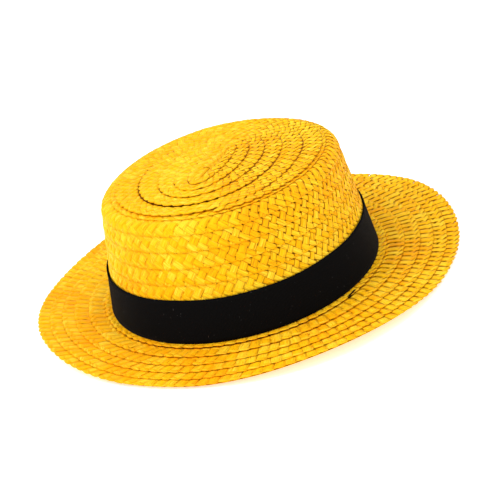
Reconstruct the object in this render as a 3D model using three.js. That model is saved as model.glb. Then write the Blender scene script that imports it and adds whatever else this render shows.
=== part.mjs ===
// Straw boater hat: a flat-topped oval crown and a stiff, slightly waved brim,
// both of plaited straw braid sewn row on row, with a plain ribbon round the crown.
//
// Millimetres, +Z up. The hat stands on its brim on the plane z = 0, its front is
// towards -Y and its longer oval axis lies along Y.

import * as THREE from 'three';

// Straw
const STRAW = 1.6; // thickness of one layer of sewn braid
const GAP = 0.3; // clearance between neighbouring pieces

// Brim, centred on the origin
const BRIM_LIFT = 0.4; // underside of the brim at the crown, above the plane it stands on
const BRIM_HALF_X = 136.1;
const BRIM_HALF_Y = 153.7;
const BRIM_SQUARENESS = 2.13; // 2 is a true ellipse, more is squarer
const BRIM_EDGE_LIFT = 1.9; // mean height of the brim's edge over the brim at the crown
const BRIM_RISE_POWER = 1.6; // the higher, the later the waves grow towards the edge
// The edge of the brim rises and falls in slow waves round the hat, with crests in degrees.
const BRIM_WAVES = [
  { cycles: 3, height: 0.7, crest: 222 },
  { cycles: 4, height: 2.3, crest: 188 },
];

// Crown: outer face of the side, straight from its foot up to the rounding at the rim
const FOOT = { halfX: 85.6, halfY: 101.9, squareness: 2, shiftX: -2.7, shiftY: -2.4 };
const RIM = { halfX: 73.1, halfY: 91.8, squareness: 2.11, shiftX: -5.8, shiftY: -3.9 };
const CROWN_HEIGHT = 75.6; // top of the tip over the top of the brim
const RIM_RADIUS = 6; // rounding where the side turns in to the tip
const RIM_STEPS = 4;

// Tip: the flat top, whose last row lies over the turned-in top of the side
const TIP_INSET = 8.4; // edge of the tip, in from the line of the side
const TIP_LAP = 9; // how far the tip lies over the turned-in side

// Ribbon
const BAND_WIDTH = 27.6;
const BAND_THICK = 0.9;
const BAND_LAP = 24; // length of the lapped ends, at the back
const BAND_LAP_RAMP = 5; // length over which the lap comes up

// Facets
const AROUND = 96;
const BRIM_RINGS = 8;

const STRAW_YELLOW = 0xf5b81c;
const RIBBON_BLACK = 0x0d0d0f;

const degrees = Math.PI / 180;
const mix = (from, to, part) => from + (to - from) * part;

// A level oval: |x/a|^n + |y/b|^n = 1, n being its squareness, at one angle.
function ovalPoint({ halfX, halfY, squareness, shiftX = 0, shiftY = 0 }, angle) {
  const c = Math.cos(angle);
  const s = Math.sin(angle);
  const power = 2 / squareness;
  const x = halfX * Math.sign(c) * Math.abs(c) ** power;
  const y = halfY * Math.sign(s) * Math.abs(s) ** power;
  return new THREE.Vector2(x + shiftX, y + shiftY);
}

// The oval of the crown's outer face at a height over the brim, moved outwards by a distance.
function crownOval(height, outwards = 0) {
  const part = height / (CROWN_HEIGHT - RIM_RADIUS);
  return {
    halfX: mix(FOOT.halfX, RIM.halfX, part) + outwards,
    halfY: mix(FOOT.halfY, RIM.halfY, part) + outwards,
    squareness: mix(FOOT.squareness, RIM.squareness, part),
    shiftX: mix(FOOT.shiftX, RIM.shiftX, part),
    shiftY: mix(FOOT.shiftY, RIM.shiftY, part),
  };
}

// A closed skin over rings of points, each joined to the next and the last to the first.
// A ring of one point is a pole, and nothing is joined between two poles.
function closedSkin(rings) {
  const positions = [];
  const ringStart = [];
  for (const ring of rings) {
    ringStart.push(positions.length / 3);
    for (const point of ring) positions.push(point.x, point.y, point.z);
  }
  const faces = [];
  rings.forEach((ring, r) => {
    const next = (r + 1) % rings.length;
    const here = ringStart[r];
    const there = ringStart[next];
    for (let i = 0; i < AROUND; i += 1) {
      const j = (i + 1) % AROUND;
      if (rings[next].length > 1) faces.push(here + (ring.length > 1 ? i : 0), there + j, there + i);
      if (ring.length > 1) faces.push(here + i, here + j, there + (rings[next].length > 1 ? j : 0));
    }
  });
  const geometry = new THREE.BufferGeometry();
  geometry.setAttribute('position', new THREE.Float32BufferAttribute(positions, 3));
  geometry.setIndex(faces);
  geometry.computeVertexNormals();
  return geometry;
}

// One ring of points at equal steps of angle, from a function of the angle.
function ringOf(pointAt) {
  return Array.from({ length: AROUND }, (_, i) => pointAt((i / AROUND) * 2 * Math.PI));
}

// One ring of points round an oval, all at one height.
function levelRing(oval, z) {
  return ringOf((angle) => {
    const flat = ovalPoint(oval, angle);
    return new THREE.Vector3(flat.x, flat.y, z);
  });
}

// Height of the brim's underside: part is 0 at the crown and 1 at the edge. It never
// goes below the plane that the hat stands on, so its low stretches are flat feet.
function brimUnderside(angle, part) {
  let wave = BRIM_EDGE_LIFT;
  for (const { cycles, height, crest } of BRIM_WAVES) {
    wave += height * Math.cos(cycles * angle - crest * degrees);
  }
  return Math.max(0, BRIM_LIFT + wave * part ** BRIM_RISE_POWER);
}

// The brim runs from the inside of the crown, where the head goes in, out to its edge.
function brimGeometry() {
  const inner = crownOval(0, -STRAW);
  const outer = { halfX: BRIM_HALF_X, halfY: BRIM_HALF_Y, squareness: BRIM_SQUARENESS };
  const ringAt = (part, lift) => ringOf((angle) => {
    const flat = ovalPoint(inner, angle).lerp(ovalPoint(outer, angle), part);
    return new THREE.Vector3(flat.x, flat.y, brimUnderside(angle, part) + lift);
  });
  const parts = Array.from({ length: BRIM_RINGS }, (_, i) => i / (BRIM_RINGS - 1));
  const under = parts.map((part) => ringAt(part, 0));
  const over = parts.map((part) => ringAt(part, STRAW)).reverse();
  return closedSkin([...under, ...over]);
}

const BRIM_TOP = BRIM_LIFT + STRAW;

// The side rises straight from the brim, rounds over the rim and turns in under the tip.
// Its section is a list of points, each a height over the brim and a distance outwards.
function sideGeometry() {
  const shoulder = CROWN_HEIGHT - STRAW - GAP;
  const roundingFoot = shoulder - RIM_RADIUS;
  const turnIn = TIP_INSET + TIP_LAP;
  const arc = (radius) => Array.from({ length: RIM_STEPS + 1 }, (_, i) => {
    const turn = (i / RIM_STEPS) * (Math.PI / 2);
    return [roundingFoot + radius * Math.sin(turn), radius * Math.cos(turn) - RIM_RADIUS];
  });
  const section = [
    [GAP, 0],
    ...arc(RIM_RADIUS),
    [shoulder, -turnIn],
    [shoulder - STRAW, -turnIn],
    ...arc(RIM_RADIUS - STRAW).reverse(),
    [GAP, -STRAW],
  ];
  return closedSkin(section.map(([rise, out]) => levelRing(crownOval(rise, out), BRIM_TOP + rise)));
}

// The tip is a flat oval lid.
function tipGeometry() {
  const edge = crownOval(CROWN_HEIGHT, -TIP_INSET);
  const top = BRIM_TOP + CROWN_HEIGHT;
  const centre = (z) => [new THREE.Vector3(edge.shiftX, edge.shiftY, z)];
  return closedSkin([
    centre(top - STRAW),
    levelRing(edge, top - STRAW),
    levelRing(edge, top),
    centre(top),
  ]);
}

// The ribbon hugs the foot of the crown. Its ends lap at the back, where it is double.
function bandGeometry() {
  const foot = GAP;
  const head = foot + BAND_WIDTH;
  const lapAt = (angle) => {
    const fromBack = Math.abs(angle - Math.PI / 2) * FOOT.halfX;
    const part = (BAND_LAP / 2 + BAND_LAP_RAMP - fromBack) / BAND_LAP_RAMP;
    return BAND_THICK * Math.min(1, Math.max(0, part));
  };
  const ringAt = (rise, outwards, lapped) => ringOf((angle) => {
    const out = outwards + (lapped ? lapAt(angle) : 0);
    const flat = ovalPoint(crownOval(rise, out), angle);
    return new THREE.Vector3(flat.x, flat.y, BRIM_TOP + rise);
  });
  return closedSkin([
    ringAt(foot, GAP, false),
    ringAt(foot, GAP + BAND_THICK, true),
    ringAt(head, GAP + BAND_THICK, true),
    ringAt(head, GAP, false),
  ]);
}

const straw = () => new THREE.MeshStandardMaterial({
  color: STRAW_YELLOW, roughness: 0.6, metalness: 0,
});
const ribbon = new THREE.MeshStandardMaterial({
  color: RIBBON_BLACK, roughness: 0.75, metalness: 0,
});

const hat = new THREE.Group();
const pieces = [
  { name: 'brim', geometry: brimGeometry(), material: straw() },
  { name: 'crown_side', geometry: sideGeometry(), material: straw() },
  { name: 'crown_tip', geometry: tipGeometry(), material: straw() },
  { name: 'hat_band', geometry: bandGeometry(), material: ribbon },
];
for (const { name, geometry, material } of pieces) {
  const piece = new THREE.Mesh(geometry, material);
  piece.name = name;
  hat.add(piece);
}

export default hat;
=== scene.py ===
"""Straw boater hat: rows of plaited palm strips sewn round and round, and a black ribbon.

One long braid makes the whole hat. It starts in a straight fold in the middle of the
tip, winds outwards, turns over the rim, goes down the side and out to the brim's edge.
Each piece here is a stretch of that braid, woven strip by strip over a thin backing.
"""
import math
from typing import NamedTuple

import bpy
import numpy as np
from bpy.props import FloatProperty, FloatVectorProperty, PointerProperty
from mathutils import Matrix, Vector


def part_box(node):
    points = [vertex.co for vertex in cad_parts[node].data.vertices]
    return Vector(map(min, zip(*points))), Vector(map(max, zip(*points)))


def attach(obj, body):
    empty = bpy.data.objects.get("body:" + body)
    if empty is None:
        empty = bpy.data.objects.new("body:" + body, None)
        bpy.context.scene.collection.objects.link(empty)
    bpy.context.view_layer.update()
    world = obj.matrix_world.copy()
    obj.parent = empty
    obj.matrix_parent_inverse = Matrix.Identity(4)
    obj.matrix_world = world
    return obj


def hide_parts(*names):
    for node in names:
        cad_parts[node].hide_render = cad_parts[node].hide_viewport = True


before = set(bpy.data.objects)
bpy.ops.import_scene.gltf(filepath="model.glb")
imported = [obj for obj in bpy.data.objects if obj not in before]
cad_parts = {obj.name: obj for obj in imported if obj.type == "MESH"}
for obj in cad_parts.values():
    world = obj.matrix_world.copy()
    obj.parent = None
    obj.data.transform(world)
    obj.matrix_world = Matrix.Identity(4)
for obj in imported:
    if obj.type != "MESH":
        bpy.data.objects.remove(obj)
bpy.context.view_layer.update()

bl_info = {
    "name": "Straw boater hat",
    "version": (1, 0, 0),
    "blender": (4, 5, 0),
    "location": "3D View > Sidebar > Boater",
    "description": "Builds a straw boater from woven strips of palm leaf, with a ribbon",
    "category": "Add Mesh",
}

MM = 0.001
TURN = 2 * math.pi


# ---------------------------------------------------------------- sizes, in millimetres

def middle_and_half(node):
    """Middle and half sizes (x, y, z) of a node's box, in millimetres."""
    low, high = (np.array(corner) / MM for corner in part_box(node))
    return (low + high) / 2, (high - low) / 2


BRIM_MID, BRIM_HALF = middle_and_half("brim")
SIDE_MID, SIDE_HALF = middle_and_half("crown_side")
TIP_MID, TIP_HALF = middle_and_half("crown_tip")
BAND_MID, BAND_HALF = middle_and_half("hat_band")

GAP = 0.3
STRAW = 2 * TIP_HALF[2]
FOOT = SIDE_MID[2] - SIDE_HALF[2]
BRIM_TOP = FOOT - GAP
TIP_TOP = TIP_MID[2] + TIP_HALF[2]
SHOULDER = SIDE_MID[2] + SIDE_HALF[2]
RIM_RADIUS = 6.0
TIP_INSET = 8.4
ROUNDING_FOOT = SHOULDER - RIM_RADIUS
ROUNDING_LENGTH = RIM_RADIUS * math.pi / 2
FLAT_LENGTH = TIP_INSET - RIM_RADIUS
SIDE_LENGTH = FLAT_LENGTH + ROUNDING_LENGTH + ROUNDING_FOOT - FOOT
RIM_SQUARENESS = 2.11

BRIM_LIFT = BRIM_TOP - STRAW
BRIM_EDGE_LIFT = 1.9
BRIM_RISE_POWER = 1.6
BRIM_SQUARENESS = 2.13
# The slow waves of the brim's edge: cycles round the hat, height, crest in degrees.
BRIM_WAVES = ((3, 0.7, 222.0), (4, 2.3, 188.0))

# The fold that the braid starts with, in the middle of the tip.
FOLD_SHIFT = -3.0
FOLD_HALF = 26.0

# Outer edge of the tip's braid, out from the fold, at turns counted from the hat's right.
TIP_TURNS = (-0.55, 0.0, 0.25, 1.0, 1.25, 2.0, 2.25, 3.0, 3.25, 4.0, 4.25, 4.5, 5.2)
TIP_EDGES = (5.0, 8.4, 11.0, 17.9, 21.0, 28.3, 32.0, 39.7, 45.5, 52.5, 61.0, 64.2, 64.2)
# Outer edge of each row down the side and out over the brim, and before them where they start.
SIDE_ROWS = (-8.0, 2.3, 12.5, 22.7, 32.9, 43.1, 53.3, 63.5, 73.7, 79.0)
BRIM_ROWS = (-4.0, 6.5, 17.5, 27.0, 35.0, 43.0, 50.5)
ROW_START = math.radians(145)  # where a level row steps over to the next, behind the hat
ROW_STEP_PART = 0.17  # part of a turn that the step takes

STRIP_STEP = 6.3  # from one strip to the next, along the row
LEAN_BACK = math.radians(40)  # from the row to the strips that lean back
SECTIONS = 10  # places along a strip

# The split's dark is painted shade in the brim's colour.
SLIT = (82.3, -40.4)  # middle of a short split in the brim's straw, by the ribbon
SLIT_LENGTH = 13.0
SLIT_WIDTH = 1.3
SLIT_SLANT = 0.14  # how far it goes along x for each step along y

RIBBON_OUT = 1.35  # inside of the ribbon, out from the crown's face
RIBBON_LAP = 0.28  # turn that the ribbon's ends lap over, in radians

CAMERA_TURN = math.radians(25.117)
CAMERA_RISE = math.radians(23.408)
CAMERA_ROLL = math.radians(-11.303)
CAMERA_LENS = 93.0
CAMERA_AWAY = 858.3
CAMERA_ASIDE = 2.5
CAMERA_ABOVE = 11.7

STRIP_SIDES = np.array([-1.0, 0.0, 1.0, 1.0, 0.0, -1.0])
STRIP_FACE = np.array([1.0, 1.0, 1.0, 0.0, 0.0, 0.0])


class Weave(NamedTuple):
    """How one piece is plaited: millimetres and radians."""
    width: float  # of the braid
    lift: float  # of a row's outer edge over its hidden one
    lean: float  # from the row to the strips that lean forwards
    over: float  # the higher, the more of those strips lies on top
    loosest: float  # angle round the hat where the strips stand furthest apart
    seed: int


def blend(start, end, part):
    return start + (end - start) * part


def smooth_step(low, high, value):
    part = np.clip((value - low) / (high - low), 0.0, 1.0)
    return part * part * (3 - 2 * part)


def oval(half_x, half_y, squareness, angle):
    """x, y on |x/a|^n + |y/b|^n = 1 at an angle, n being the squareness."""
    cos, sin, power = np.cos(angle), np.sin(angle), 2 / squareness
    x = half_x * np.sign(cos) * np.abs(cos) ** power
    y = half_y * np.sign(sin) * np.abs(sin) ** power
    return x, y


def stacked(x, y, z):
    return np.stack(np.broadcast_arrays(x, y, z), axis=-1)


# ---------------------------------------------------------------- surfaces of the hat
# Each takes the angle round the hat and the distance across the rows, and gives points
# on the outer face and the directions that face outwards there.

def tip_surface(angle, across):
    """Rings that grow from a straight fold to the tip's edge. At q, the distance from the fold
    over the tip's half width R, the half sizes are R q and F + (B - F) q."""
    part = np.where(across < 1.5, 1.2 + 0.18 * across, across) / TIP_HALF[0]
    near = 1 - np.clip(part, 0, 1)
    squareness = blend(RIM_SQUARENESS, 2.0, near)
    x, y = oval(TIP_HALF[0] * part, blend(FOLD_HALF, TIP_HALF[1], part), squareness, angle)
    point = stacked(x + TIP_MID[0] + FOLD_SHIFT * near, y + TIP_MID[1], TIP_TOP - 1.1 + 1.4 * near)
    return point, stacked(np.zeros_like(x), 0.0, 1.0)


def side_surface(angle, across):
    """From the tip's edge a flat shoulder, a quarter round of the rim's radius, then straight
    down, carried round the oval that the crown has at that height."""
    turn = np.clip((across - FLAT_LENGTH) / RIM_RADIUS, 0, math.pi / 2)
    inwards = RIM_RADIUS * (1 - np.sin(turn)) + np.maximum(FLAT_LENGTH - across, 0)
    down = np.maximum(across - FLAT_LENGTH - ROUNDING_LENGTH, 0)
    height = ROUNDING_FOOT + RIM_RADIUS * np.cos(turn) - down
    part = (height - BRIM_TOP) / (TIP_TOP - BRIM_TOP)
    half_x = blend(SIDE_HALF[0], TIP_HALF[0] + TIP_INSET, part)
    half_y = blend(SIDE_HALF[1], TIP_HALF[1] + TIP_INSET, part)
    squareness = blend(2.0, RIM_SQUARENESS, part)
    x, y = oval(half_x - inwards, half_y - inwards, squareness, angle)
    out_x, out_y = np.cos(angle) / half_x, np.sin(angle) / half_y
    size = np.hypot(out_x, out_y) / np.maximum(np.sin(turn), 1e-9)
    normal = stacked(out_x / size, out_y / size, np.cos(turn))
    middle = blend(SIDE_MID, TIP_MID, part[..., None])
    return stacked(x + middle[..., 0], y + middle[..., 1], height), normal


def brim_surface(angle, across):
    """Straight lines from the crown's foot to the brim's outline. The underside is at BRIM_LIFT
    plus cosine waves that grow outwards as a power of the distance, and never below 0."""
    part = np.where(across < 0, 0.26 * across, across) / BRIM_ROWS[-1]
    inner_x, inner_y = oval(SIDE_HALF[0], SIDE_HALF[1], 2.0, angle)
    outer_x, outer_y = oval(BRIM_HALF[0], BRIM_HALF[1], BRIM_SQUARENESS, angle)
    wave = BRIM_EDGE_LIFT + sum(h * np.cos(n * angle - math.radians(c)) for n, h, c in BRIM_WAVES)
    under = np.maximum(0.0, BRIM_LIFT + wave * np.clip(part, 0, 1) ** BRIM_RISE_POWER)
    x = blend(inner_x + SIDE_MID[0], outer_x, part)
    y = blend(inner_y + SIDE_MID[1], outer_y, part)
    sunk = 0.4 * (1 - smooth_step(0, 6, across))
    return stacked(x, y, under + STRAW - sunk), stacked(np.zeros_like(x), 0.0, 1.0)


# ---------------------------------------------------------------- meshes

def make_mesh(name, parts):
    """One mesh from parts, each a dict of points in millimetres, faces (a list of index
    arrays, each for one number of corners), flat (a flag for each face, in the same lists)
    and layers (a value for each point)."""
    points = np.concatenate([part["points"].reshape(-1, 3) for part in parts])
    starts = np.cumsum([0] + [part["points"].size // 3 for part in parts[:-1]])
    blocks = [block + start for part, start in zip(parts, starts) for block in part["faces"]]
    sizes = np.concatenate([np.full(len(block), block.shape[1]) for block in blocks])
    corners = np.concatenate([block.ravel() for block in blocks])
    flat = np.concatenate([flags.ravel() for part in parts for flags in part["flat"]])
    mesh = bpy.data.meshes.new(name)
    mesh.vertices.add(len(points))
    mesh.vertices.foreach_set("co", (points * MM).astype(np.float32).ravel())
    mesh.loops.add(len(corners))
    mesh.loops.foreach_set("vertex_index", corners.astype(np.int32))
    mesh.polygons.add(len(sizes))
    mesh.polygons.foreach_set("loop_start", (np.cumsum(sizes) - sizes).astype(np.int32))
    mesh.update(calc_edges=True)
    sharp = mesh.attributes.new("sharp_face", "BOOLEAN", "FACE")
    sharp.data.foreach_set("value", flat.astype(bool))
    for layer in parts[0]["layers"]:
        values = np.concatenate([part["layers"][layer].ravel() for part in parts])
        attribute = mesh.attributes.new(layer, "FLOAT", "POINT")
        attribute.data.foreach_set("value", values.astype(np.float32))
    piece = bpy.data.objects.new(name, mesh)
    bpy.context.scene.collection.objects.link(piece)
    return piece


def tube_faces(count, sections, corners, closed=False):
    """Quads of count tubes, each of some sections with some corners. Closed tubes have their
    last section joined to their first, and open ones have their ends closed with quads."""
    tube = np.arange(count)[:, None, None] * sections * corners
    section = np.arange(sections if closed else sections - 1)[None, :, None]
    corner = np.arange(corners)[None, None, :]
    here, there = tube + section * corners, tube + (section + 1) % sections * corners
    after = (corner + 1) % corners
    walls = np.stack(np.broadcast_arrays(here + corner, here + after, there + after, there + corner), -1)
    if closed:
        return walls, None
    low = np.arange(corners // 2 - 1)
    cap = np.stack([low, corners - 1 - low, corners - 2 - low, low + 1], -1)
    starts = np.arange(count)[:, None, None] * sections * corners + cap
    ends = starts[..., ::-1] + (sections - 1) * corners
    return walls, np.concatenate([starts, ends], axis=1)


def outwards(walls, points, normals):
    """Whether the walls over a tube's upper face turn the way of the surface's normals."""
    flat_points = points.reshape(-1, 3)
    quad = flat_points[walls]
    turn = np.cross(quad[:, 1] - quad[:, 0], quad[:, 3] - quad[:, 0])
    return np.sum(turn * normals.reshape(-1, 3)[walls[:, 0]]) > 0


def openness(angle, loosest):
    """How loosely the strips are plaited: 1 on the right of the hat, and 0 on the left."""
    return smooth_step(-0.3, 0.9, np.cos(angle - loosest))


def woven_strips(surface, path, forward, braid, weave):
    """One family of strips of a braid. A strip crosses the row on the line
    s = s0 + (t - W/2) / tan(lean), t going from the row's hidden edge to its outer edge W.
    With k strips of the other family crossed since the middle, a strip is at the height
    lift (t / W - 1/2) +- h tanh(2 cos(pi k) + over), over one and under one."""
    lengths, angles, levels, hidden = path
    width = weave.width
    draw = np.random.default_rng(weave.seed + (0 if forward else 1))
    lean = weave.lean if forward else math.pi - LEAN_BACK
    way = 1 if forward else -1
    count = int(lengths[-1] // STRIP_STEP)
    index = np.arange(count)[:, None, None]
    loose = openness(np.interp(index * STRIP_STEP, lengths, angles), weave.loosest)
    gap = blend(0.12, (0.95 if forward else 0.4), loose) * draw.uniform(0.0, 2.0, (count, 1, 1))
    half = (STRIP_STEP * math.sin(lean) - gap) / 2
    jitter = draw.normal(0, 0.22, (count, 1, 1))
    skew = draw.normal(0, 0.05, (count, 1, 1))
    end = draw.normal(0, 0.18, (count, 1, 1))
    side, face = STRIP_SIDES[None, None, :], STRIP_FACE[None, None, :]
    middle = np.linspace(0, width, SECTIONS)[None, :, None]
    s = index * STRIP_STEP + (middle - width / 2) / math.tan(lean) - math.sin(lean) * side * half + jitter
    s = s + skew * (middle - width / 2)
    t = np.clip(middle + math.cos(lean) * side * half, 0, width + end)
    slopes = 1 / math.tan(weave.lean) + 1 / math.tan(LEAN_BACK)
    crossed = (middle - width / 2) * slopes / STRIP_STEP
    rise = way * np.tanh(2 * np.cos(crossed * math.pi) + weave.over) + draw.normal(0, 0.2, (count, 1, 1))
    near_edge = smooth_step(0, 0.14, middle / width) * smooth_step(0, 0.14, 1 - middle / width)
    height = weave.lift * (t / width - 0.5) + braid.weave / MM * rise * blend(0.35, 1.0, near_edge)
    height = height + 0.1 * (1 - np.abs(side)) + face * braid.thickness / MM
    base, normal = surface(np.interp(s, lengths, angles), np.interp(s, lengths, levels) - width + t)
    points = base + normal * height[..., None]
    walls, caps = tube_faces(count, SECTIONS, len(STRIP_SIDES))
    if not outwards(walls[:, :, 0].reshape(-1, 4), points, np.broadcast_to(normal, points.shape)):
        walls, caps = walls[..., ::-1], caps[..., ::-1]
    flat = np.zeros(walls.shape[:-1], bool)
    flat[..., [2, 5]] = True
    shape = points.shape[:-1]
    tone = draw.uniform(0, 1, (count, 1, 1))
    layers = {
        "along": middle / math.sin(lean) + index * 37.0,
        "crosswise": side * half,
        "tone": tone,
        "from_edge": t - np.interp(s, lengths, hidden),
        "loose": loose,
        "strip_edge": np.abs(side) * 1.0,
        "backing": np.zeros(1),
    }
    layers = {name: np.broadcast_to(value, shape) for name, value in layers.items()}
    faces = [walls.reshape(-1, 4), caps.reshape(-1, 4)]
    return {"points": points, "faces": faces, "flat": [flat, np.ones(len(faces[1]), bool)],
            "layers": layers}


# The outer face of this layer takes the painted gap shade in the straw material, for the dark seen between the
# strips.
def backing(surface, across, outer, inner, around=120):
    """The closed thin layer under the strips: the surface lowered by outer and by inner."""
    angle = (np.arange(around) / around * TURN)[:, None]
    base, normal = surface(angle, across[None, :])
    section = np.concatenate([base - normal * outer, (base - normal * inner)[:, ::-1]], axis=1)
    walls, _ = tube_faces(1, around, section.shape[1], closed=True)
    walls = walls.reshape(-1, 4)
    corners = section.shape[1]
    first = walls[np.arange(len(walls)) % corners < len(across) - 1]
    both = np.concatenate([normal, normal[:, ::-1]], axis=1)
    if not outwards(first, section, both):
        walls = walls[:, ::-1]
    shape = section.shape[:-1]
    run = np.concatenate([across, across[::-1]])[None, :]
    side_flag = np.repeat([1.0, 2.0], len(across))[None, :]
    zero = np.zeros(shape)
    layers = {
        "along": np.broadcast_to(angle * (SIDE_HALF[0] + SIDE_HALF[1]) / 2, shape),
        "crosswise": np.broadcast_to(run, shape), "tone": zero + 0.5, "from_edge": zero + 5,
        "loose": zero, "backing": np.broadcast_to(side_flag, shape), "strip_edge": zero,
    }
    return {"points": section, "faces": [walls], "flat": [np.zeros(len(walls), bool)], "layers": layers}


def braid_path(surface, angles, levels, hidden, width):
    """Length along the middle of a braid, by adding up its steps, with what goes with it."""
    points, _ = surface(angles, levels - width / 2)
    steps = np.linalg.norm(np.diff(points, axis=0), axis=1)
    return np.concatenate([[0.0], np.cumsum(steps)]), angles, levels, hidden


def spiral_path(surface, turns, edges, width):
    """A braid that winds outwards all the time, clockwise seen from above."""
    turn = np.linspace(turns[0], turns[-1], 5000)
    levels = np.interp(turn, turns, edges)
    hidden = width - (levels - np.interp(turn - 1, turns, edges, left=-20))
    return braid_path(surface, -turn * TURN, levels, hidden, width)


def row_path(surface, rows, width):
    """A braid of level rows, clockwise seen from above, that steps to each next row."""
    last = len(rows) - 1
    turn = np.linspace(0, last + 0.8 * ROW_STEP_PART, 6000)
    row = np.floor(turn)
    place = np.minimum(row + smooth_step(0, ROW_STEP_PART, turn - row), last)
    levels = np.interp(place, np.arange(len(rows)), rows)
    hidden = width - (levels - np.interp(place - 1, np.arange(len(rows)), rows, left=-20))
    return braid_path(surface, ROW_START - turn * TURN, levels, hidden, width)


def woven_piece(name, surface, path, braid, weave, backing_across):
    """A stretch of braid, both families of strips, over its backing, as one piece."""
    forward = woven_strips(surface, path, True, braid, weave)
    back = woven_strips(surface, path, False, braid, weave)
    return make_mesh(name, [forward, back, backing(surface, backing_across, 1.05, 1.6)])


def ribbon_strip(height, thick):
    """A closed strip round the crown's foot, its two ends lapped behind the hat. Each point is
    on the crown's oval at its height, moved out; the lap moves out by the ribbon's thickness."""
    around, rows = 360, 12
    run = np.linspace(0, 1, around)[:, None]
    rise = np.linspace(0, 1, rows)[None, :]
    angle = math.pi / 2 - RIBBON_LAP / 2 + run * (TURN + RIBBON_LAP)
    z = BAND_MID[2] - BAND_HALF[2] + 0.5 + rise * height
    z = z + 0.25 * np.sin(3 * angle + 1) * (rise - 0.3) + 0.12 * np.sin(11 * angle) * rise
    across = SIDE_LENGTH + FOOT - z
    base, normal = side_surface(angle, across)
    lap = 1.2 * thick * smooth_step(0.93, 0.965, run)
    slack = 0.18 * np.sin(5 * angle + 0.6) * rise + 0.25 * smooth_step(0.8, 1.0, rise)
    out = RIBBON_OUT + lap + slack + 0.0 * rise
    inner = base + normal * out[..., None]
    outer = base + normal * (out + thick)[..., None]
    section = np.concatenate([outer, inner[:, ::-1]], axis=1)
    walls, caps = tube_faces(1, around, 2 * rows)
    walls, caps = walls.reshape(-1, 4), caps.reshape(-1, 4)
    face = walls[np.arange(len(walls)) % (2 * rows) < rows - 1]
    both = np.broadcast_to(np.concatenate([normal, normal[:, ::-1]], axis=1), section.shape)
    if not outwards(face, section, both):
        walls, caps = walls[:, ::-1], caps[:, ::-1]
    flat = np.zeros(len(walls), bool)
    flat[np.arange(len(walls)) % rows == rows - 1] = True
    up = np.concatenate([rise, rise[:, ::-1]], axis=1) * height
    length = np.linalg.norm(np.diff(outer[:, 0], axis=0), axis=1).sum()
    shape = section.shape[:-1]
    layers = {"run": np.broadcast_to(run * length, shape), "rise": np.broadcast_to(up, shape)}
    part = {"points": section, "faces": [walls, caps], "flat": [flat, np.ones(len(caps), bool)],
            "layers": layers}
    return make_mesh("ribbon", [part]), length


# ---------------------------------------------------------------- materials

class Value:
    """A socket in a material, with arithmetic that adds the nodes for it."""

    def __init__(self, tree, socket):
        self.tree = tree
        self.socket = socket

    def node(self, kind, inputs, output=0, **settings):
        """Add a node of any kind, set or link its inputs by name or number, and wrap an output."""
        node = self.tree.nodes.new(kind)
        for name, setting in settings.items():
            setattr(node, name, setting)
        for name, value in inputs.items():
            if isinstance(value, Value):
                self.tree.links.new(value.socket, node.inputs[name])
            else:
                node.inputs[name].default_value = value
        return Value(self.tree, node.outputs[output])

    def math(self, operation, first, second):
        return self.node("ShaderNodeMath", {0: first, 1: second}, operation=operation)

    def __add__(self, other):
        return self.math("ADD", self, other)

    def __radd__(self, other):
        return self.math("ADD", other, self)

    def __sub__(self, other):
        return self.math("SUBTRACT", self, other)

    def __rsub__(self, other):
        return self.math("SUBTRACT", other, self)

    def __mul__(self, other):
        return self.math("MULTIPLY", self, other)

    def __rmul__(self, other):
        return self.math("MULTIPLY", other, self)

    def __truediv__(self, other):
        return self.math("DIVIDE", self, other)

    def __rtruediv__(self, other):
        return self.math("DIVIDE", other, self)

    def sine(self):
        return self.math("SINE", self, 0.0)

    def step(self, low, high):
        """0 below low, 1 above high and smooth between, or the other way round."""
        values = {"Value": self, "From Min": low, "From Max": high}
        return self.node("ShaderNodeMapRange", values, interpolation_type="SMOOTHSTEP")

    def colour(self, low, high):
        """Mix two colours, of which either may be a socket, by this value."""
        inputs = {"Factor": self, 6: low, 7: high}
        return self.node("ShaderNodeMix", inputs, output=2, data_type="RGBA")

    def point(self, y, z):
        return self.node("ShaderNodeCombineXYZ", {0: self, 1: y, 2: z})

    def noise(self, scale, detail=2.0):
        values = {"Vector": self, "Scale": scale, "Detail": detail}
        return self.node("ShaderNodeTexNoise", values)

    def bump(self, distance, strength=1.0):
        """Bump from this height."""
        values = {"Height": self, "Distance": distance, "Strength": strength}
        return self.node("ShaderNodeBump", values)


def new_material(name):
    """A material, its shader node and a first value to build from."""
    material = bpy.data.materials.new(name)
    material.use_nodes = True
    shader = material.node_tree.nodes["Principled BSDF"]
    return material, shader, Value(material.node_tree, None)


def connect(shader, **inputs):
    """Link values to the shader's inputs, named with a low line for a space."""
    for name, value in inputs.items():
        value.tree.links.new(value.socket, shader.inputs[name.replace("_", " ")])


def layer(start, name):
    return start.node("ShaderNodeAttribute", {}, output="Fac", attribute_name=name)


def place(start):
    return start.node("ShaderNodeTexCoord", {}, output="Object")


def linear(colour):
    """A colour property as the four numbers that a colour input takes."""
    return (*colour, 1.0)


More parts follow.
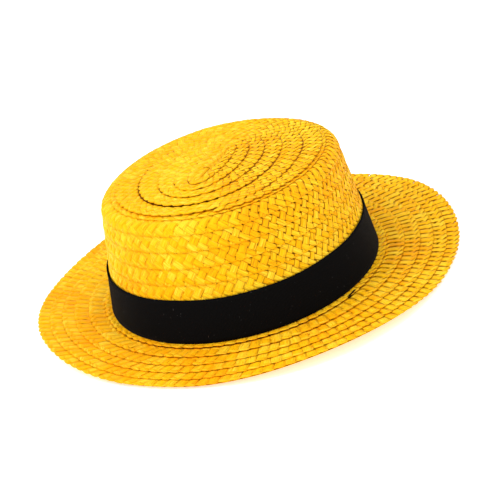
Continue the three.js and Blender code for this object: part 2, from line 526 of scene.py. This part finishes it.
def straw_material(name, colours, warmth, line, slit=None):
    """Palm leaf: fine fibres along each strip, each strip its own yellow, with brown fibre marks and
    flecks. Painted shade darkens the strips' edges and sides, more where they stand apart, and a
    painted shadow, as strong as line, lies where a row comes out from under the one before."""
    material, shader, start = new_material(name)
    along, crosswise, tone = layer(start, "along"), layer(start, "crosswise"), layer(start, "tone")
    edge, row, backing_flag = (layer(start, n) for n in ("strip_edge", "from_edge", "backing"))
    spot = place(start)
    x, y, z = (spot.node("ShaderNodeSeparateXYZ", {0: spot}, output=axis) / MM for axis in "XYZ")
    fibre_place = (crosswise * 1.0).point(along * 0.05, tone * 61.0)
    fibres = fibre_place.noise(2.2, 4.0)
    threads = (crosswise * 1.0).point(along * 0.035, tone * 23.0).noise(3.0, 1.0)
    patches = spot.noise(22.0, 2.0)
    flecks = (crosswise * 0.8).point(along * 0.22, tone * 17.0).noise(1.6, 2.0)
    loose = layer(start, "loose")
    yellow = (tone * (0.12 + 0.25 * loose) + fibres * 1.4 - 0.28 + (patches - 0.5) * 1.1 - warmth).step(0.05, 0.75)
    colour = yellow.colour(linear(colours.straw_deep), linear(colours.straw))
    colour = (tone * 0.4 + threads * 1.3 + patches * 0.5).step(1.05, 1.75).colour(
        colour, linear(colours.straw_pale))
    fibre_marks_and_painted_shade = (threads.step(0.42, 0.26) * 0.6 + flecks.step(0.64, 0.78) * 0.4)
    # Painted shade along the strips' edges and sides, stronger where the strips stand apart, and a painted shadow
    # line, broken up by noise, where a row comes out from under the one above.
    fibre_marks_and_painted_shade = fibre_marks_and_painted_shade + edge.step(0.7, 1.0) * (0.15 + 0.7 * loose) + row.step(0.9, 0.1) * line * spot.noise(110.0, 1.0).step(0.42, 0.58)
    colour = fibre_marks_and_painted_shade.step(0.0, 1.0).colour(colour, linear(colours.straw_brown_and_painted_shade))
    if slit:
        # Painted shade: the split is drawn as a near-black mark on the colour, for the shade inside it; the mesh
        # has no opening there.
        ahead = y - slit[1]
        aside = x - slit[0] - SLIT_SLANT * ahead
        aside, far = aside.math("ABSOLUTE", aside, 0.0), ahead.math("ABSOLUTE", ahead, 0.0)
        painted_split_shade = aside.step(SLIT_WIDTH, 0.5 * SLIT_WIDTH) * far.step(0.5 * SLIT_LENGTH, 0.3 * SLIT_LENGTH)
        colour = painted_split_shade.colour(colour, (0.01, 0.004, 0.001, 1.0))
    # The backing's outer face, seen through the gaps between the strips, is painted dark as the shade there.
    colour = backing_flag.step(0.4, 0.6).colour(colour, linear(colours.gap_painted_shade))
    weave = (x + z).sine() * (y + z).sine()
    inside = (weave * 0.25 + 0.6 + (patches - 0.5) * 0.5).colour(
        linear(colours.straw_deep), linear(colours.straw))
    colour = backing_flag.step(1.4, 1.6).colour(colour, inside)
    roughness = 0.5 + fibres * 0.3
    relief = fibres * 0.7 + threads * 1.0 + weave * backing_flag.step(1.4, 1.6)
    connect(shader, Base_Color=colour, Roughness=roughness, Normal=relief.bump(0.0004, 0.8))
    shader.inputs["Specular IOR Level"].default_value = 0.06
    return material


def ribbon_material(colours):
    """Black grosgrain: fine ribs over the width, and smooth woven edges."""
    material, shader, start = new_material("ribbon")
    run, rise = layer(start, "run"), layer(start, "rise")
    ribs = (run * TURN / 0.85).sine() * 0.5 + 0.5
    threads = ((run * 0.6 + rise) * TURN / 0.5).sine() * 0.5 + 0.5
    dust = run.point(rise, 0.0).noise(0.9, 3.0)
    lint = run.point(rise * 0.25, 3.0).noise(2.2, 0.0)
    shade = ribs * 0.35 + dust * 0.6
    colour = shade.colour(linear(colours.ribbon), linear(colours.ribbon_worn))
    colour = (lint.step(0.86, 0.9) * 0.3).colour(colour, (0.25, 0.25, 0.25, 1.0))
    edge = rise.step(0.9, 0.3) + rise.step(26.2, 26.9)
    colour = (edge * 0.6).colour(colour, (0.002, 0.002, 0.002, 1.0))
    relief = ribs * 0.8 + threads * 0.2
    connect(shader, Base_Color=colour, Roughness=0.7 + dust * 0.25, Normal=relief.bump(0.0002, 0.7))
    shader.inputs["Specular IOR Level"].default_value = 0.015
    shader.inputs["Sheen Weight"].default_value = 0.035
    shader.inputs["Sheen Roughness"].default_value = 0.25
    return material


# ---------------------------------------------------------------- settings

def colour_property(name, description, default):
    return FloatVectorProperty(name=name, description=description, default=default, size=3,
                               subtype="COLOR", min=0.0, max=1.0)


class BOATER_braid(bpy.types.PropertyGroup):
    """Sizes of the braid."""
    width: FloatProperty(
        name="Braid width", description="Width of the braid that is sewn row on row",
        default=0.0125, unit="LENGTH")
    tip_width: FloatProperty(
        name="Tip braid width", description="Width of the braid on the tip, where rows are wider",
        default=0.0155, unit="LENGTH")
    lift: FloatProperty(
        name="Row lift", description="How much higher a row's outer edge is than its hidden one",
        default=0.0013, unit="LENGTH")
    weave: FloatProperty(
        name="Weave height", description="How far strips rise and dip where they cross",
        default=0.00022, unit="LENGTH")
    thickness: FloatProperty(
        name="Strip thickness", description="Thickness of one strip of palm leaf",
        default=0.0003, unit="LENGTH")


class BOATER_ribbon(bpy.types.PropertyGroup):
    """Sizes of the ribbon."""
    width: FloatProperty(
        name="Ribbon width", description="Height of the ribbon round the crown",
        default=0.0271, unit="LENGTH")
    thickness: FloatProperty(
        name="Ribbon thickness", description="Thickness of one layer of the ribbon",
        default=0.0006, unit="LENGTH")


class BOATER_colours(bpy.types.PropertyGroup):
    """Colours of the hat."""
    straw: colour_property("Straw", "Most of the straw", (0.97, 0.53, 0.002))
    straw_deep: colour_property("Deep straw", "The orange patches", (0.96, 0.37, 0.001))
    straw_pale: colour_property("Pale straw", "The palest strips", (1.0, 0.75, 0.06))
    # Brown fibre marks, and also the painted shade at the strips' edges and the painted shadow under each row's
    # edge.
    straw_brown_and_painted_shade: colour_property("Brown straw", "Where strips and rows meet", (0.32, 0.10, 0.002))
    # Painted shade: the dark colour of the backing's outer face, standing for the shade in the gaps between the
    # strips.
    gap_painted_shade: colour_property("Gaps", "What shows between the strips", (0.30, 0.085, 0.001))
    ribbon: colour_property("Ribbon", "The ribbon's own black", (0.0012, 0.0012, 0.0014))
    ribbon_worn: colour_property("Ribbon ribs", "The paler ribs", (0.0065, 0.0065, 0.007))


# ---------------------------------------------------------------- operators

def finish_piece(piece, material, node):
    """Give a piece its material, hang it on the root body and hide the CAD node it stands for."""
    piece.data.materials.append(material)
    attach(piece, "root")
    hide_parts(node)


class BOATER_OT_tip(bpy.types.Operator):
    """Weave the flat top of the crown"""
    bl_idname = "boater.tip"
    bl_label = "Tip"

    def execute(self, context):
        braid, colours = context.scene.boater_braid, context.scene.boater_colours
        weave = Weave(braid.tip_width / MM, 0.85 * braid.lift / MM, math.radians(57), 0.5,
                      math.radians(20), 11)
        path = spiral_path(tip_surface, TIP_TURNS, TIP_EDGES, weave.width)
        across = np.linspace(0.2, 57, 9)
        piece = woven_piece("straw_tip", tip_surface, path, braid, weave, across)
        # 0.8 sets how dark the painted shadow under each row's edge is.
        finish_piece(piece, straw_material("tip_straw", colours, 0.0, 0.8), "crown_tip")
        return {"FINISHED"}


class BOATER_OT_side(bpy.types.Operator):
    """Weave the side of the crown"""
    bl_idname = "boater.side"
    bl_label = "Side"

    def execute(self, context):
        braid, colours = context.scene.boater_braid, context.scene.boater_colours
        weave = Weave(braid.width / MM, 0.62 * braid.lift / MM, math.radians(57), 0.6,
                      math.radians(5), 21)
        path = row_path(side_surface, SIDE_ROWS, weave.width)
        bend = FLAT_LENGTH + ROUNDING_LENGTH * np.linspace(0, 1, 6)
        across = np.concatenate([[-8.0], bend, np.linspace(bend[-1], SIDE_LENGTH, 8)[1:]])
        piece = woven_piece("straw_side", side_surface, path, braid, weave, across)
        # 0.25 sets how dark the painted shadow under each row's edge is.
        finish_piece(piece, straw_material("side_straw", colours, 0.05, 0.25), "crown_side")
        return {"FINISHED"}


class BOATER_OT_brim(bpy.types.Operator):
    """Weave the brim"""
    bl_idname = "boater.brim"
    bl_label = "Brim"

    def execute(self, context):
        braid, colours = context.scene.boater_braid, context.scene.boater_colours
        weave = Weave(braid.width / MM, 1.1 * braid.lift / MM, math.radians(72), 1.4,
                      math.radians(45), 31)
        path = row_path(brim_surface, BRIM_ROWS, weave.width)
        across = np.linspace(-5.0, BRIM_ROWS[-1] - 3.5, 9)
        piece = woven_piece("straw_brim", brim_surface, path, braid, weave, across)
        # 0.3 sets how dark the painted shadow under each row's edge is.
        material = straw_material("brim_straw", colours, 0.05, 0.3, SLIT)
        finish_piece(piece, material, "brim")
        return {"FINISHED"}


class BOATER_OT_ribbon(bpy.types.Operator):
    """Put the ribbon round the crown"""
    bl_idname = "boater.ribbon"
    bl_label = "Ribbon"

    def execute(self, context):
        sizes, colours = context.scene.boater_ribbon, context.scene.boater_colours
        piece, length = ribbon_strip(sizes.width / MM, sizes.thickness / MM)
        finish_piece(piece, ribbon_material(colours), "hat_band")
        return {"FINISHED"}


def area_light(name, place_at, aim, size, power):
    """A square light at a place, turned to shine at another."""
    light = bpy.data.lights.new(name, "AREA")
    light.size = size
    light.energy = power
    lamp = bpy.data.objects.new(name, light)
    lamp.location = place_at
    lamp.rotation_euler = (Vector(aim) - Vector(place_at)).to_track_quat("-Z", "Y").to_euler()
    bpy.context.scene.collection.objects.link(lamp)


class BOATER_OT_stage(bpy.types.Operator):
    """Set the floor, lights and camera"""
    bl_idname = "boater.stage"
    bl_label = "Stage"

    def execute(self, context):
        scene = context.scene
        half = 6.0
        mesh = bpy.data.meshes.new("floor")
        corners = [(-half, -half, 0), (half, -half, 0), (half, half, 0), (-half, half, 0)]
        mesh.from_pydata(corners, [], [(0, 1, 2, 3)])
        floor = bpy.data.objects.new("floor", mesh)
        scene.collection.objects.link(floor)
        material, shader, _ = new_material("floor")
        shader.inputs["Base Color"].default_value = (0.96, 0.96, 0.96, 1.0)
        shader.inputs["Roughness"].default_value = 0.9
        shader.inputs["Emission Color"].default_value = (1, 1, 1, 1)
        shader.inputs["Emission Strength"].default_value = 0.4
        mesh.materials.append(material)
        world = bpy.data.worlds.new("world")
        world.use_nodes = True
        world.node_tree.nodes["Background"].inputs["Color"].default_value = (1, 1, 1, 1)
        world.node_tree.nodes["Background"].inputs["Strength"].default_value = 1.0
        scene.world = world
        area_light("key", (-0.9, -0.7, 1.3), (0, 0, 0.03), 1.0, 12)
        area_light("fill", (1.2, -0.9, 0.9), (0, 0, 0.03), 1.4, 3)
        area_light("top", (0.1, 0.4, 1.6), (0, 0, 0.03), 1.6, 6)
        scene.view_settings.view_transform = "Standard"
        scene.camera = self.camera(scene)
        return {"FINISHED"}

    def camera(self, scene):
        """A camera at CAMERA_TURN and CAMERA_RISE from the front, rolled, off the crown's foot."""
        back = Vector((math.sin(CAMERA_TURN) * math.cos(CAMERA_RISE),
                       -math.cos(CAMERA_TURN) * math.cos(CAMERA_RISE), math.sin(CAMERA_RISE)))
        level = Vector((0, 0, 1)).cross(back).normalized()
        upright = back.cross(level)
        right = level * math.cos(CAMERA_ROLL) + upright * math.sin(CAMERA_ROLL)
        up = upright * math.cos(CAMERA_ROLL) - level * math.sin(CAMERA_ROLL)
        middle = Vector((SIDE_MID[0], SIDE_MID[1], BRIM_TOP)) * MM
        lens = bpy.data.cameras.new("camera")
        lens.lens = CAMERA_LENS
        lens.sensor_width = 36
        lens.clip_start = 0.02
        lens.clip_end = 50
        camera = bpy.data.objects.new("camera", lens)
        turned = Matrix((right, up, back)).transposed().to_4x4()
        spot = middle + (right * CAMERA_ASIDE + up * CAMERA_ABOVE + back * CAMERA_AWAY) * MM
        camera.matrix_world = Matrix.Translation(spot) @ turned
        scene.collection.objects.link(camera)
        return camera


class BOATER_PT_panel(bpy.types.Panel):
    """Sizes, colours and steps of the boater"""
    bl_idname = "BOATER_PT_panel"
    bl_label = "Straw boater"
    bl_space_type = "VIEW_3D"
    bl_region_type = "UI"
    bl_category = "Boater"

    def draw(self, context):
        scene = context.scene
        for group in (scene.boater_braid, scene.boater_ribbon, scene.boater_colours):
            box = self.layout.box()
            for name in group.bl_rna.properties.keys():
                if name not in ("rna_type", "name"):
                    box.prop(group, name)
        for operator in OPERATORS:
            self.layout.operator(operator.bl_idname)


OPERATORS = (BOATER_OT_tip, BOATER_OT_side, BOATER_OT_brim, BOATER_OT_ribbon, BOATER_OT_stage)
GROUPS = (BOATER_braid, BOATER_ribbon, BOATER_colours)


def register():
    for kind in (*GROUPS, *OPERATORS, BOATER_PT_panel):
        bpy.utils.register_class(kind)
    for group in GROUPS:
        name = group.__name__.lower()
        setattr(bpy.types.Scene, name, PointerProperty(type=group))


def unregister():
    for group in GROUPS:
        delattr(bpy.types.Scene, group.__name__.lower())
    for kind in (BOATER_PT_panel, *reversed(OPERATORS), *reversed(GROUPS)):
        bpy.utils.unregister_class(kind)


def main():
    register()
    bpy.ops.boater.tip()
    bpy.ops.boater.side()
    bpy.ops.boater.brim()
    bpy.ops.boater.ribbon()
    bpy.ops.boater.stage()


if __name__ == "__main__":
    main()
